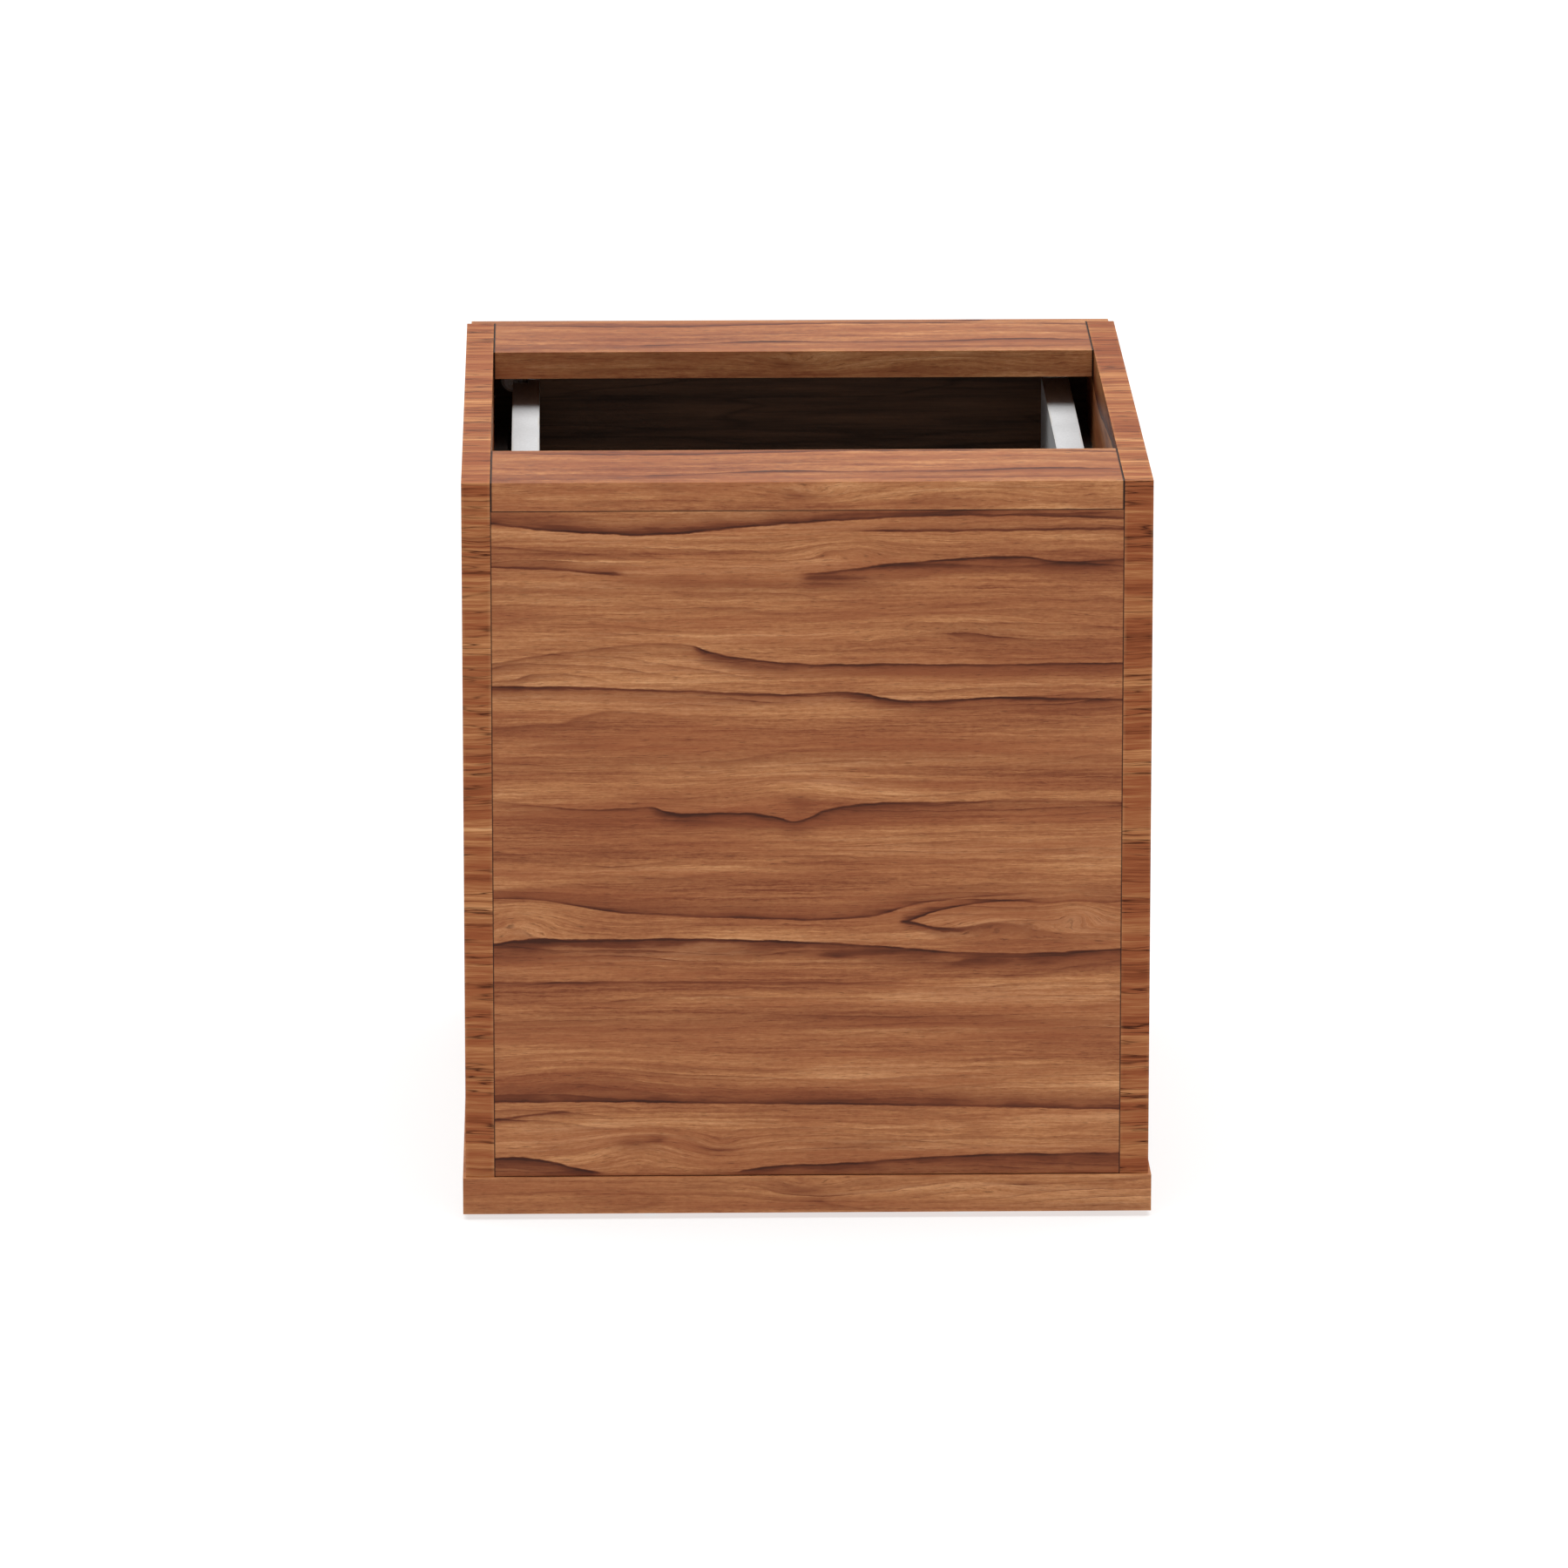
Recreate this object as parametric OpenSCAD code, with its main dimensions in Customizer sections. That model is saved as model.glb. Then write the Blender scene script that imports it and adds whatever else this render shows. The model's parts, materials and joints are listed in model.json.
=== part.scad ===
// Open-topped two-drawer storage pedestal that carries a worktop: a wood-grain carcass of two sides, a back,
// a thick base and two top rails, with a box drawer over a file drawer on full-extension ball slides.
// Millimetres, +Z up, drawer fronts face -Y, origin at the centre of the footprint on the floor.

/* [Carcass] */
// Width over the two side panels
carcass_w = 457; // [380:1:600]
// Depth of the side panels, back edge to front edge
carcass_d = 532; // [440:1:650]
// Height of the side panels above the base
side_h = 475; // [390:1:620]
// Thickness of the side panels, back panel and top rails
board_t = 19; // [15.5:0.1:23]
// Front-to-back width of each top rail
rail_d = 102; // [80:1:130]

/* [Base] */
// Thickness of the base slab
base_t = 25; // [19:0.5:32]
// How far the base stands out past each side panel
base_side_lip = 2; // [0:0.5:6]
// How far the base stands out past the back panel
base_back_lip = 3; // [0:0.5:10]
// How far the base stands out past the drawer fronts
base_front_lip = 2; // [0:0.5:6]
// Height of each glide under the base
glide_h = 4; // [3:0.5:8]
// Diameter of each glide
glide_dia = 25; // [20:1:32]
// Distance from the base's edges to the glide centres
glide_inset = 38; // [30:1:60]

/* [Drawers] */
// Thickness of the drawer fronts
front_t = 19; // [16:0.5:23]
// Height of the upper drawer's front
upper_front_h = 155; // [125:1:200]
// Gap between the two fronts, and between the lower front and the base
front_seam = 3; // [2:0.5:5]
// Set-back of the fronts' ends from the side panels' outer faces
side_reveal = 3; // [1:0.5:5]
// Set-back of the upper front's top edge from the carcass top
top_reveal = 2.4; // [1:0.1:5]
// Gap between the fronts and the carcass's front edges, which the bumpers fill
front_gap = 1.5; // [1:0.1:3]
// Thickness of the drawer sides
box_side_t = 19; // [15:0.5:23]
// Thickness of the drawer backs
box_back_t = 16; // [12:0.5:19]
// Thickness of the drawer bottoms
box_bottom_t = 8; // [6:0.5:12]
// Drop from a front's top edge to the top of its drawer box
box_drop = 38; // [34:1:50]
// Rise from a front's bottom edge to the bottom of its drawer box
box_rise = 12; // [8:1:20]
// Rise from the box's bottom edge to the underside of the drawer bottom
bottom_rise = 10; // [6:1:16]
// Clearance between the drawer boxes and the back panel
rear_gap = 10; // [5:1:30]

/* [Slides] */
// Space that a ball slide fills between a drawer and a side panel
slide_gap = 13; // [12.7:0.1:16]
// Height of a slide's cabinet member
slide_h = 45; // [40:1:50]
// Steel thickness of the slide members
slide_t = 1.2; // [1:0.1:1.4]
// Set-back of the slides from the side panels' front edges
slide_set = 3; // [2:0.5:10]
// Diameter of the outer row's balls
outer_ball = 3.6; // [3:0.1:4.2]
// Diameter of the inner row's balls
inner_ball = 3; // [2.4:0.1:3.4]
// Balls in each row
row_balls = 6; // [4:1:10]

/* [Pulls] */
// Length of the bar of each pull
pull_len = 190; // [150:1:260]
// Distance between a pull's two posts
pull_span = 128; // [96:1:140]
// Diameter of a pull's bar
bar_dia = 12; // [9:0.5:14]
// Reach of a pull in front of the drawer front
pull_reach = 32; // [26:0.5:40]
// Drop from a front's top edge to its pull
pull_drop = 30; // [24:1:45]

/* [Lock] */
// Distance from the side panel's inner face to the lock's axis
lock_side_gap = 13.5; // [12:0.1:16]
// Distance from the top rail's underside to the lock's axis
lock_rail_gap = 21; // [20:0.5:24]
// How far the locked cam reaches into the side panel
lock_throw = 5; // [4:0.1:6]
// Diameter of the lock's body
lock_dia = 16; // [14:0.5:17]

/* [Hidden] */
$fn = 48;

// Names for the two drawers and the two sides
upper = 0;
lower = 1;
right = 1;
left = -1;

// Fits
eps = 0.01;
part_fit = 0.1;      // between pieces of one body, each side
panel_fit = 0.5;     // drawer bottom in its grooves, at the edges
ball_play = 0.2;     // ball to race, each side
plug_fit = 0.05;     // running fit of the lock plug in its body

// Carcass planes
half_w = carcass_w / 2;
inner_x = half_w - board_t;
base_top = glide_h + base_t;
top_z = base_top + side_h;
rail_z = top_z - board_t;
total_d = base_back_lip + carcass_d + front_gap + front_t + pull_reach;
back_y = total_d / 2 - base_back_lip;
front_y = back_y - carcass_d;
face_y = front_y - front_gap;
show_y = face_y - front_t;
back_in_y = back_y - board_t;

// Drawer fronts and boxes, as functions of which drawer
front_half_w = half_w - side_reveal;
upper_z0 = top_z - top_reveal - upper_front_h;
lower_z0 = base_top + front_seam;
function front_z0(d) = d == upper ? upper_z0 : lower_z0;
function front_z1(d) = d == upper ? top_z - top_reveal : upper_z0 - front_seam;
function box_z0(d) = front_z0(d) + box_rise;
function box_z1(d) = front_z1(d) - box_drop;
function slide_z(d) = (box_z0(d) + box_z1(d)) / 2;
function pull_z(d) = front_z1(d) - pull_drop;
box_x = inner_x - slide_gap;
box_in_x = box_x - box_side_t;
box_back_y = back_in_y - rear_gap;
box_back_in_y = box_back_y - box_back_t;
groove_depth = 8;

// Slide members: u runs from the side panel towards the drawer, v is the height off the slide's centre line
slide_y0 = front_y + slide_set;
slide_len = back_in_y - rear_gap - slide_y0;
slide_screw_head_h = 1.4;
slide_screw_play = 0.6;
lip_h = 3;
cab_drawer_gap = 3.5;    // cabinet member to the drawer side
mid_drawer_gap = 2;      // middle member to the drawer side
member_gap = 0.8;        // drawer member to the middle member's web
cab_v = slide_h / 2;
cab_u = slide_gap - cab_drawer_gap;
mid_u0 = slide_t + slide_screw_head_h + slide_screw_play;
mid_u1 = slide_gap - mid_drawer_gap;
mid_v = cab_v - slide_t - outer_ball - 2 * ball_play;
drw_u0 = mid_u0 + slide_t + member_gap;
drw_v = mid_v - slide_t - inner_ball - 2 * ball_play;
cage_t = 0.8;
cage_edge = 0.3;         // strip beside each ball
cage_short = 20;         // how much shorter a cage is than half a slide
cage_len = slide_len / 2 - cage_short;
cage_y0 = slide_y0 + (slide_len - cage_len) / 2;
outer_row_u = (mid_u0 + cab_u - slide_t) / 2;
outer_row_v = cab_v - slide_t - ball_play - outer_ball / 2;
inner_row_u = (drw_u0 + mid_u1 - slide_t) / 2;
inner_row_v = mid_v - slide_t - ball_play - inner_ball / 2;
slide_screw_front = 37;
slide_screw_rear = 45;
slide_screw_ys = [
    slide_y0 + slide_screw_front,
    slide_y0 + slide_len / 2,
    slide_y0 + slide_len - slide_screw_rear
];

// Fasteners
dowel_r = 4;
dowel_in_board = 12;
dowel_in_end = 20;
dowel_slack = 1;
rail_dowel_shares = [0.25, 0.75];
rail_back_dowel_share = 0.55;
back_dowel_margin = 60;
box_dowel_margin = 12;
slide_screw_r = 1.7;
slide_hole_r = 2.1;
slide_screw_head_r = 3.4;
slide_screw_len = 12;
base_screw_r = 2.5;
base_screw_head_r = 5;
base_screw_head_h = 4;
base_screw_bite = 32;
base_screw_margin = 70;
base_screw_share = 0.5;
hex_r = 2.3;
hex_h = 2.5;
nail_r = 1.5;
nail_head_r = 3.2;
nail_head_h = 1;
nail_bite = 12;
pull_screw_r = 2;
pull_screw_head_r = 4.5;
pull_screw_head_h = 2.8;
pull_screw_bite = 12;
driver_slot = [6, 1, 1.2];   // length, width and depth of a screw head's slot
post_r = 5;
bumper_r = 4;
bumper_h = front_gap - part_fit;
bumper_inset = 26;
file_rail_t = 2.5;
file_rail_h = 22;
file_rail_rise = 10;
file_rail_end_gap = 2;
file_screw_r = 1.6;
file_screw_head_r = 3;
file_screw_head_h = 1.2;
file_screw_len = 12;

// Lock, from its flange on the drawer front back to the cam screw
lock_x = inner_x - lock_side_gap;
lock_z = rail_z - lock_rail_gap;
flange_lip = 2;
flange_r = lock_dia / 2 + flange_lip;
flange_h = 1.6;
nut_wall = 1;
nut_r = lock_dia / 2 + nut_wall;
nut_h = 3;
nut_notch = [1.6, 2];        // across and along the nut's rim
body_tail = 7;
body_wall = 2.5;
plug_r = lock_dia / 2 - body_wall;
plug_neck = 7;
keyway = [2, 7, 6];          // width, height and depth
cam_t = 2;
cam_w = 9;
cam_hub_r = 6.5;
cam_len = lock_side_gap + lock_throw;
cam_play = 0.3;
cam_y0 = face_y + body_tail + cam_play;
cam_mid_y = cam_y0 + cam_t / 2;
cam_screw_r = 1.6;
cam_screw_len = 7;
cam_screw_tip_gap = 1;
cam_screw_head_r = 4;
cam_screw_head_h = 2.2;
relief_play = 1;
relief_y = body_tail + cam_play + cam_t + cam_screw_head_h + relief_play;
relief_x = max(nut_r + relief_play + lock_side_gap - slide_gap, eps);
relief_z = max(box_z1(upper) - (lock_z - nut_r - relief_play), eps);
cam_corner_r = sqrt(cam_len * cam_len + cam_w * cam_w / 4);
strike_t = 1.2;
strike_w = 11;
strike_low = 16;
strike_top_gap = 0.5;
strike_high = lock_rail_gap - strike_top_gap;
slot_side_play = 1.5;
slot_end_play = 1;
slot_w = cam_t + 2 * slot_side_play;
slot_low = cam_w / 2 + slot_end_play;
slot_high = sqrt(cam_corner_r * cam_corner_r - lock_side_gap * lock_side_gap) + slot_end_play;
slot_deep = lock_throw + slot_side_play;
strike_screw_r = 1.1;
strike_screw_head_r = 1.9;
strike_screw_head_h = 0.5;
strike_screw_len = 9;
strike_screw_zs = [-(strike_low + slot_low) / 2, (strike_high + slot_high) / 2];

// ---- helpers ----

// A board between two opposite corners
module board(low, high) {
    translate(low)
        cube(high - low);
}

// Draws its children as drawn for the right-hand (+X) side, mirrored for the left
module on_side(side) {
    mirror([side == left ? 1 : 0, 0, 0])
        children();
}

// Draws its children on both sides
module on_both_sides() {
    on_side(right)
        children();
    on_side(left)
        children();
}

// Cylinders along each axis, from a start point
module rod_x(start, r, length) {
    translate(start)
        rotate([0, 90, 0])
            cylinder(r = r, h = length);
}

module rod_y(start, r, length) {
    translate(start)
        rotate([-90, 0, 0])
            cylinder(r = r, h = length);
}

module rod_z(start, r, length) {
    translate(start)
        cylinder(r = r, h = length);
}

// A driver slot cut into a screw head whose outer face is at y
module driver_cut(x, z, y, across, up) {
    board([x - across / 2, y - driver_slot.z, z - up / 2], [x + across / 2, y + eps, z + up / 2]);
}

// Evenly spaced heights for a row of dowels, kept clear of both ends
function spread(low, high, count, margin) = [
    for (i = [0:count - 1]) low + margin + i * (high - low - 2 * margin) / (count - 1)
];

// Dowel lines of the carcass: [y, z] of each dowel that runs along X into a side panel
rail_dowel_yzs = [
    for (y0 = [front_y, back_y - rail_d])
        for (share = rail_dowel_shares)
            [y0 + share * rail_d, rail_z + board_t / 2]
];
back_dowel_yzs = [for (z = spread(base_top, rail_z, 4, back_dowel_margin)) [back_y - board_t / 2, z]];
side_dowel_yzs = concat(rail_dowel_yzs, back_dowel_yzs);
rail_back_dowel_xs = [for (side = [left, 0, right]) side * inner_x * rail_back_dowel_share];

// Base screws: [x, y] of each one
base_screw_xys = concat(
    [
        for (side = [left, right])
            for (y = spread(front_y, back_y, 3, base_screw_margin))
                [side * (half_w - board_t / 2), y]
    ],
    [for (side = [left, right]) [side * inner_x * base_screw_share, back_y - board_t / 2]]
);

// Glides: [x, y] of each one
glide_xys = [
    for (side = [left, right])
        for (y = [show_y - base_front_lip + glide_inset, back_y + base_back_lip - glide_inset])
            [side * (half_w + base_side_lip - glide_inset), y]
];

// Heights of the dowels that join a drawer side to its front and to its back
function box_dowel_zs(d) = spread(
    box_z0(d) + bottom_rise + box_bottom_t,
    box_z1(d) - relief_z,
    d == upper ? 2 : 4,
    box_dowel_margin
);

// ---- carcass ----

module side_panel(side) {
    color("peru")
    on_side(side)
        difference() {
            board([inner_x, front_y, base_top], [half_w, back_y, top_z]);
            for (yz = side_dowel_yzs)
                rod_x([inner_x - eps, yz.x, yz.y], dowel_r + part_fit, dowel_in_board + eps);
            for (xy = base_screw_xys)
                rod_z([abs(xy.x), xy.y, base_top - eps], base_screw_r + part_fit, base_screw_bite + dowel_slack);
            for (d = [upper, lower])
                for (y = slide_screw_ys)
                    rod_x([inner_x - eps, y, slide_z(d)], slide_screw_r + part_fit, slide_screw_len);
            if (side == right)
                strike_recess();
        }
}

// The shallow seat for the strike plate, the pocket that takes the cam and the strike's screw holes
module strike_recess() {
    board(
        [inner_x - eps, cam_mid_y - strike_w / 2 - part_fit, lock_z - strike_low - part_fit],
        [inner_x + strike_t, cam_mid_y + strike_w / 2 + part_fit, lock_z + strike_high + part_fit]
    );
    board(
        [inner_x - eps, cam_mid_y - slot_w / 2, lock_z - slot_low],
        [inner_x + slot_deep, cam_mid_y + slot_w / 2, lock_z + slot_high]
    );
    for (z = strike_screw_zs)
        rod_x([inner_x - eps, cam_mid_y, lock_z + z], strike_screw_r + part_fit, strike_screw_len + dowel_slack);
}

module back_panel() {
    color("peru")
    difference() {
        board([-inner_x, back_in_y, base_top], [inner_x, back_y, rail_z]);
        on_both_sides()
            for (yz = back_dowel_yzs)
                rod_x([inner_x - dowel_in_end - dowel_slack, yz.x, yz.y], dowel_r + part_fit,
                    dowel_in_end + dowel_slack + eps);
        for (x = rail_back_dowel_xs)
            rod_z([x, back_y - board_t / 2, rail_z - dowel_in_end - dowel_slack], dowel_r + part_fit,
                dowel_in_end + dowel_slack + eps);
        for (xy = base_screw_xys)
            rod_z([xy.x, xy.y, base_top - eps], base_screw_r + part_fit, base_screw_bite + dowel_slack);
    }
}

module base_panel() {
    x = half_w + base_side_lip;
    color("peru")
    difference() {
        board([-x, show_y - base_front_lip, glide_h], [x, back_y + base_back_lip, base_top]);
        for (xy = base_screw_xys) {
            rod_z([xy.x, xy.y, glide_h - eps], base_screw_r + part_fit, base_t + 2 * eps);
            rod_z([xy.x, xy.y, glide_h - eps], base_screw_head_r + part_fit, base_screw_head_h + eps);
        }
        for (xy = glide_xys)
            rod_z([xy.x, xy.y, glide_h - eps], nail_r + part_fit, nail_bite + dowel_slack);
    }
}

// A top rail whose back edge is at y1; the rear one is also dowelled down onto the back panel
module top_rail(y1, on_back_panel) {
    color("peru")
    difference() {
        board([-inner_x, y1 - rail_d, rail_z], [inner_x, y1, top_z]);
        on_both_sides()
            for (share = rail_dowel_shares)
                rod_x([inner_x - dowel_in_end - dowel_slack, y1 - share * rail_d, rail_z + board_t / 2],
                    dowel_r + part_fit, dowel_in_end + dowel_slack + eps);
        if (on_back_panel)
            for (x = rail_back_dowel_xs)
                rod_z([x, y1 - board_t / 2, rail_z - eps], dowel_r + part_fit, dowel_in_board + eps);
    }
}

module carcass_dowels() {
    color("burlywood") {
        on_both_sides()
            for (yz = side_dowel_yzs)
                rod_x([inner_x - dowel_in_end, yz.x, yz.y], dowel_r, dowel_in_end + dowel_in_board);
        for (x = rail_back_dowel_xs)
            rod_z([x, back_y - board_t / 2, rail_z - dowel_in_end], dowel_r, dowel_in_end + dowel_in_board);
    }
}

module base_screws() {
    color("silver")
    for (xy = base_screw_xys)
        difference() {
            union() {
                rod_z([xy.x, xy.y, glide_h], base_screw_head_r, base_screw_head_h);
                rod_z([xy.x, xy.y, glide_h], base_screw_r, base_t + base_screw_bite);
            }
            translate([xy.x, xy.y, glide_h - eps])
                cylinder(r = hex_r, h = hex_h, $fn = 6);
        }
}

module glides() {
    color("dimgray")
    for (xy = glide_xys)
        difference() {
            rod_z([xy.x, xy.y, 0], glide_dia / 2, glide_h);
            rod_z([xy.x, xy.y, -eps], nail_r + part_fit, glide_h + 2 * eps);
            rod_z([xy.x, xy.y, -eps], nail_head_r + part_fit, 2 * nail_head_h + eps);
        }
}

module glide_nails() {
    color("silver")
    for (xy = glide_xys) {
        rod_z([xy.x, xy.y, nail_head_h], nail_head_r, nail_head_h);
        rod_z([xy.x, xy.y, nail_head_h], nail_r, glide_h + nail_bite - nail_head_h);
    }
}

// ---- ball slides ----

// Extrudes a slide profile, drawn as [u, v], along the slide for one drawer and one side
module slide_extrusion(d, side, y0, length) {
    on_side(side)
        translate([inner_x, y0 + length, slide_z(d)])
            rotate([90, 0, 0])
                mirror([1, 0, 0])
                    linear_extrude(height = length)
                        children();
}

// A channel profile: web at u0, flanges at +-v reaching u1, lips turned in towards the centre line
module lipped_channel(u0, u1, v, lip) {
    difference() {
        translate([u0, -v])
            square([u1 - u0, 2 * v]);
        translate([u0 + slide_t, -v + slide_t])
            square([u1 - u0 - 2 * slide_t, 2 * (v - slide_t)]);
        translate([u1 - slide_t - eps, -v + lip])
            square([slide_t + 2 * eps, 2 * (v - lip)]);
    }
}

// Holes through a slide's web for its screws
module slide_screw_holes(d, side) {
    on_side(side)
        for (y = slide_screw_ys)
            rod_x([box_x - eps, y, slide_z(d)], slide_hole_r, slide_gap + 2 * eps);
}

module cabinet_slide(d, side) {
    color("lightsteelblue")
    difference() {
        slide_extrusion(d, side, slide_y0, slide_len)
            lipped_channel(0, cab_u, cab_v, lip_h);
        slide_screw_holes(d, side);
    }
}

module middle_slide(d, side) {
    color("lightsteelblue")
    slide_extrusion(d, side, slide_y0, slide_len)
        lipped_channel(mid_u0, mid_u1, mid_v, lip_h);
}

// The drawer member's channel opens towards the side panel, with its web against the drawer
module drawer_slide(d, side) {
    color("lightsteelblue")
    difference() {
        slide_extrusion(d, side, slide_y0, slide_len)
            difference() {
                translate([drw_u0, -drw_v])
                    square([slide_gap - drw_u0, 2 * drw_v]);
                translate([drw_u0 - eps, -drw_v + slide_t])
                    square([slide_gap - slide_t - drw_u0 + eps, 2 * (drw_v - slide_t)]);
            }
        slide_screw_holes(d, side);
    }
}

// The strips that carry one slide's upper and lower rows of balls, with the balls in their pockets
module ball_cages(d, row_u, row_v, ball) {
    strip_w = ball + 2 * cage_edge;
    color("gold")
    on_both_sides()
        for (updown = [-1, 1])
            translate([inner_x - row_u, cage_y0, slide_z(d) + updown * row_v]) {
                difference() {
                    translate([-strip_w / 2, 0, -cage_t / 2])
                        cube([strip_w, cage_len, cage_t]);
                    for (i = [0:row_balls - 1])
                        translate([0, (i + 0.5) * cage_len / row_balls, -cage_t])
                            cylinder(d = ball + ball_play, h = 2 * cage_t);
                }
                for (i = [0:row_balls - 1])
                    translate([0, (i + 0.5) * cage_len / row_balls, 0])
                        sphere(d = ball);
            }
}

module outer_ball_cages(d) {
    ball_cages(d, outer_row_u, outer_row_v, outer_ball);
}

module inner_ball_cages(d) {
    ball_cages(d, inner_row_u, inner_row_v, inner_ball);
}

module cabinet_slide_screws() {
    color("silver")
    on_both_sides()
        for (d = [upper, lower])
            for (y = slide_screw_ys) {
                rod_x([inner_x - slide_t - slide_screw_head_h, y, slide_z(d)], slide_screw_head_r,
                    slide_screw_head_h);
                rod_x([inner_x - slide_t - slide_screw_head_h, y, slide_z(d)], slide_screw_r,
                    slide_t + slide_screw_head_h + slide_screw_len - dowel_slack);
            }
}

module drawer_slide_screws(d) {
    color("silver")
    on_both_sides()
        for (y = slide_screw_ys) {
            rod_x([box_x + slide_t, y, slide_z(d)], slide_screw_head_r, slide_screw_head_h);
            rod_x([box_x - slide_screw_len + dowel_slack, y, slide_z(d)], slide_screw_r,
                slide_screw_len - dowel_slack + slide_t + slide_screw_head_h);
        }
}

// ---- drawers ----

module drawer_front(d) {
    color("peru")
    difference() {
        board([-front_half_w, show_y, front_z0(d)], [front_half_w, face_y, front_z1(d)]);
        bottom_groove(d);
        on_both_sides() {
            for (z = box_dowel_zs(d))
                rod_y([box_x - box_side_t / 2, face_y - dowel_in_board, z], dowel_r + part_fit,
                    dowel_in_board + eps);
            rod_y([pull_span / 2, show_y - eps, pull_z(d)], pull_screw_r + part_fit, front_t + 2 * eps);
        }
        if (d == upper)
            rod_y([lock_x, show_y - eps, lock_z], lock_dia / 2 + part_fit, front_t + 2 * eps);
    }
}

// The groove that the drawer bottom sits in, as one box through the front's back and both sides
module bottom_groove(d) {
    z = box_z0(d) + bottom_rise;
    board(
        [-box_in_x - groove_depth, face_y - groove_depth, z],
        [box_in_x + groove_depth, box_back_y + eps, z + box_bottom_t + part_fit]
    );
}

module drawer_side(d, side) {
    color("gainsboro")
    difference() {
        on_side(side)
            difference() {
                board([box_in_x, face_y, box_z0(d)], [box_x, box_back_y, box_z1(d)]);
                for (z = box_dowel_zs(d)) {
                    rod_y([box_x - box_side_t / 2, face_y - eps, z], dowel_r + part_fit,
                        dowel_in_end + dowel_slack);
                    rod_x([box_in_x - eps, box_back_y - box_back_t / 2, z], dowel_r + part_fit,
                        dowel_in_board + eps);
                }
                for (y = slide_screw_ys)
                    rod_x([box_x - slide_screw_len, y, slide_z(d)], slide_screw_r + part_fit,
                        slide_screw_len + eps);
                if (d == lower)
                    file_screw_holes();
            }
        bottom_groove(d);
        if (d == upper && side == right)
            board(
                [box_x - relief_x, face_y - eps, box_z1(d) - relief_z],
                [box_x + eps, face_y + relief_y, box_z1(d) + eps]
            );
    }
}

module drawer_back(d) {
    color("gainsboro")
    difference() {
        board([-box_in_x, box_back_in_y, box_z0(d) + bottom_rise + box_bottom_t],
            [box_in_x, box_back_y, box_z1(d)]);
        on_both_sides()
            for (z = box_dowel_zs(d))
                rod_x([box_in_x - dowel_in_end - dowel_slack, box_back_y - box_back_t / 2, z],
                    dowel_r + part_fit, dowel_in_end + dowel_slack + eps);
    }
}

module drawer_bottom(d) {
    x = box_in_x + groove_depth - panel_fit;
    z = box_z0(d) + bottom_rise;
    color("gainsboro")
    board([-x, face_y - groove_depth + panel_fit, z], [x, box_back_y, z + box_bottom_t]);
}

module drawer_dowels(d) {
    color("burlywood")
    on_both_sides()
        for (z = box_dowel_zs(d)) {
            rod_y([box_x - box_side_t / 2, face_y - dowel_in_board, z], dowel_r, dowel_in_board + dowel_in_end);
            rod_x([box_in_x - dowel_in_end, box_back_y - box_back_t / 2, z], dowel_r,
                dowel_in_end + dowel_in_board);
        }
}

module bumpers(d) {
    color("whitesmoke")
    on_both_sides()
        for (z = [front_z0(d) + bumper_inset, front_z1(d) - bumper_inset])
            rod_y([half_w - board_t / 2, face_y, z], bumper_r, bumper_h);
}

module pull(d) {
    bar_y = show_y - pull_reach + bar_dia / 2;
    color("silver")
    difference() {
        union() {
            rod_x([-pull_len / 2, bar_y, pull_z(d)], bar_dia / 2, pull_len);
            on_both_sides()
                rod_y([pull_span / 2, bar_y, pull_z(d)], post_r, show_y - bar_y);
        }
        on_both_sides()
            rod_y([pull_span / 2, show_y - pull_screw_bite - dowel_slack, pull_z(d)], pull_screw_r + part_fit,
                pull_screw_bite + dowel_slack + eps);
    }
}

module pull_screws(d) {
    color("silver")
    on_both_sides()
        difference() {
            union() {
                rod_y([pull_span / 2, show_y - pull_screw_bite, pull_z(d)], pull_screw_r,
                    pull_screw_bite + front_t);
                rod_y([pull_span / 2, face_y, pull_z(d)], pull_screw_head_r, pull_screw_head_h);
            }
            driver_cut(pull_span / 2, pull_z(d), face_y + pull_screw_head_h, driver_slot.x, driver_slot.y);
        }
}

// Two flat bars that hanging files ride on, standing above the file drawer's sides
module file_rails() {
    z1 = box_z1(lower) + file_rail_rise;
    color("silver")
    on_both_sides()
        difference() {
            board([box_in_x - file_rail_t, face_y + file_rail_end_gap, z1 - file_rail_h],
                [box_in_x, box_back_in_y - file_rail_end_gap, z1]);
            file_screw_holes();
        }
}

module file_screw_holes() {
    for (y = slide_screw_ys)
        rod_x([box_in_x - file_rail_t - eps, y, file_screw_z()], file_screw_r + part_fit,
            file_rail_t + file_screw_len);
}

function file_screw_z() = box_z1(lower) - (file_rail_h - file_rail_rise) / 2;

module file_rail_screws() {
    color("silver")
    on_both_sides()
        for (y = slide_screw_ys) {
            rod_x([box_in_x - file_rail_t - file_screw_head_h, y, file_screw_z()], file_screw_head_r,
                file_screw_head_h);
            rod_x([box_in_x - file_rail_t - file_screw_head_h, y, file_screw_z()], file_screw_r,
                file_rail_t + file_screw_head_h + file_screw_len - dowel_slack);
        }
}

// ---- lock ----

module lock_body() {
    color("darkgray")
    difference() {
        union() {
            rod_y([lock_x, show_y - flange_h, lock_z], flange_r, flange_h);
            rod_y([lock_x, show_y - flange_h, lock_z], lock_dia / 2, flange_h + front_t + body_tail);
        }
        rod_y([lock_x, show_y - flange_h - eps, lock_z], plug_r + plug_fit,
            flange_h + front_t + body_tail + 2 * eps);
    }
}

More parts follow.
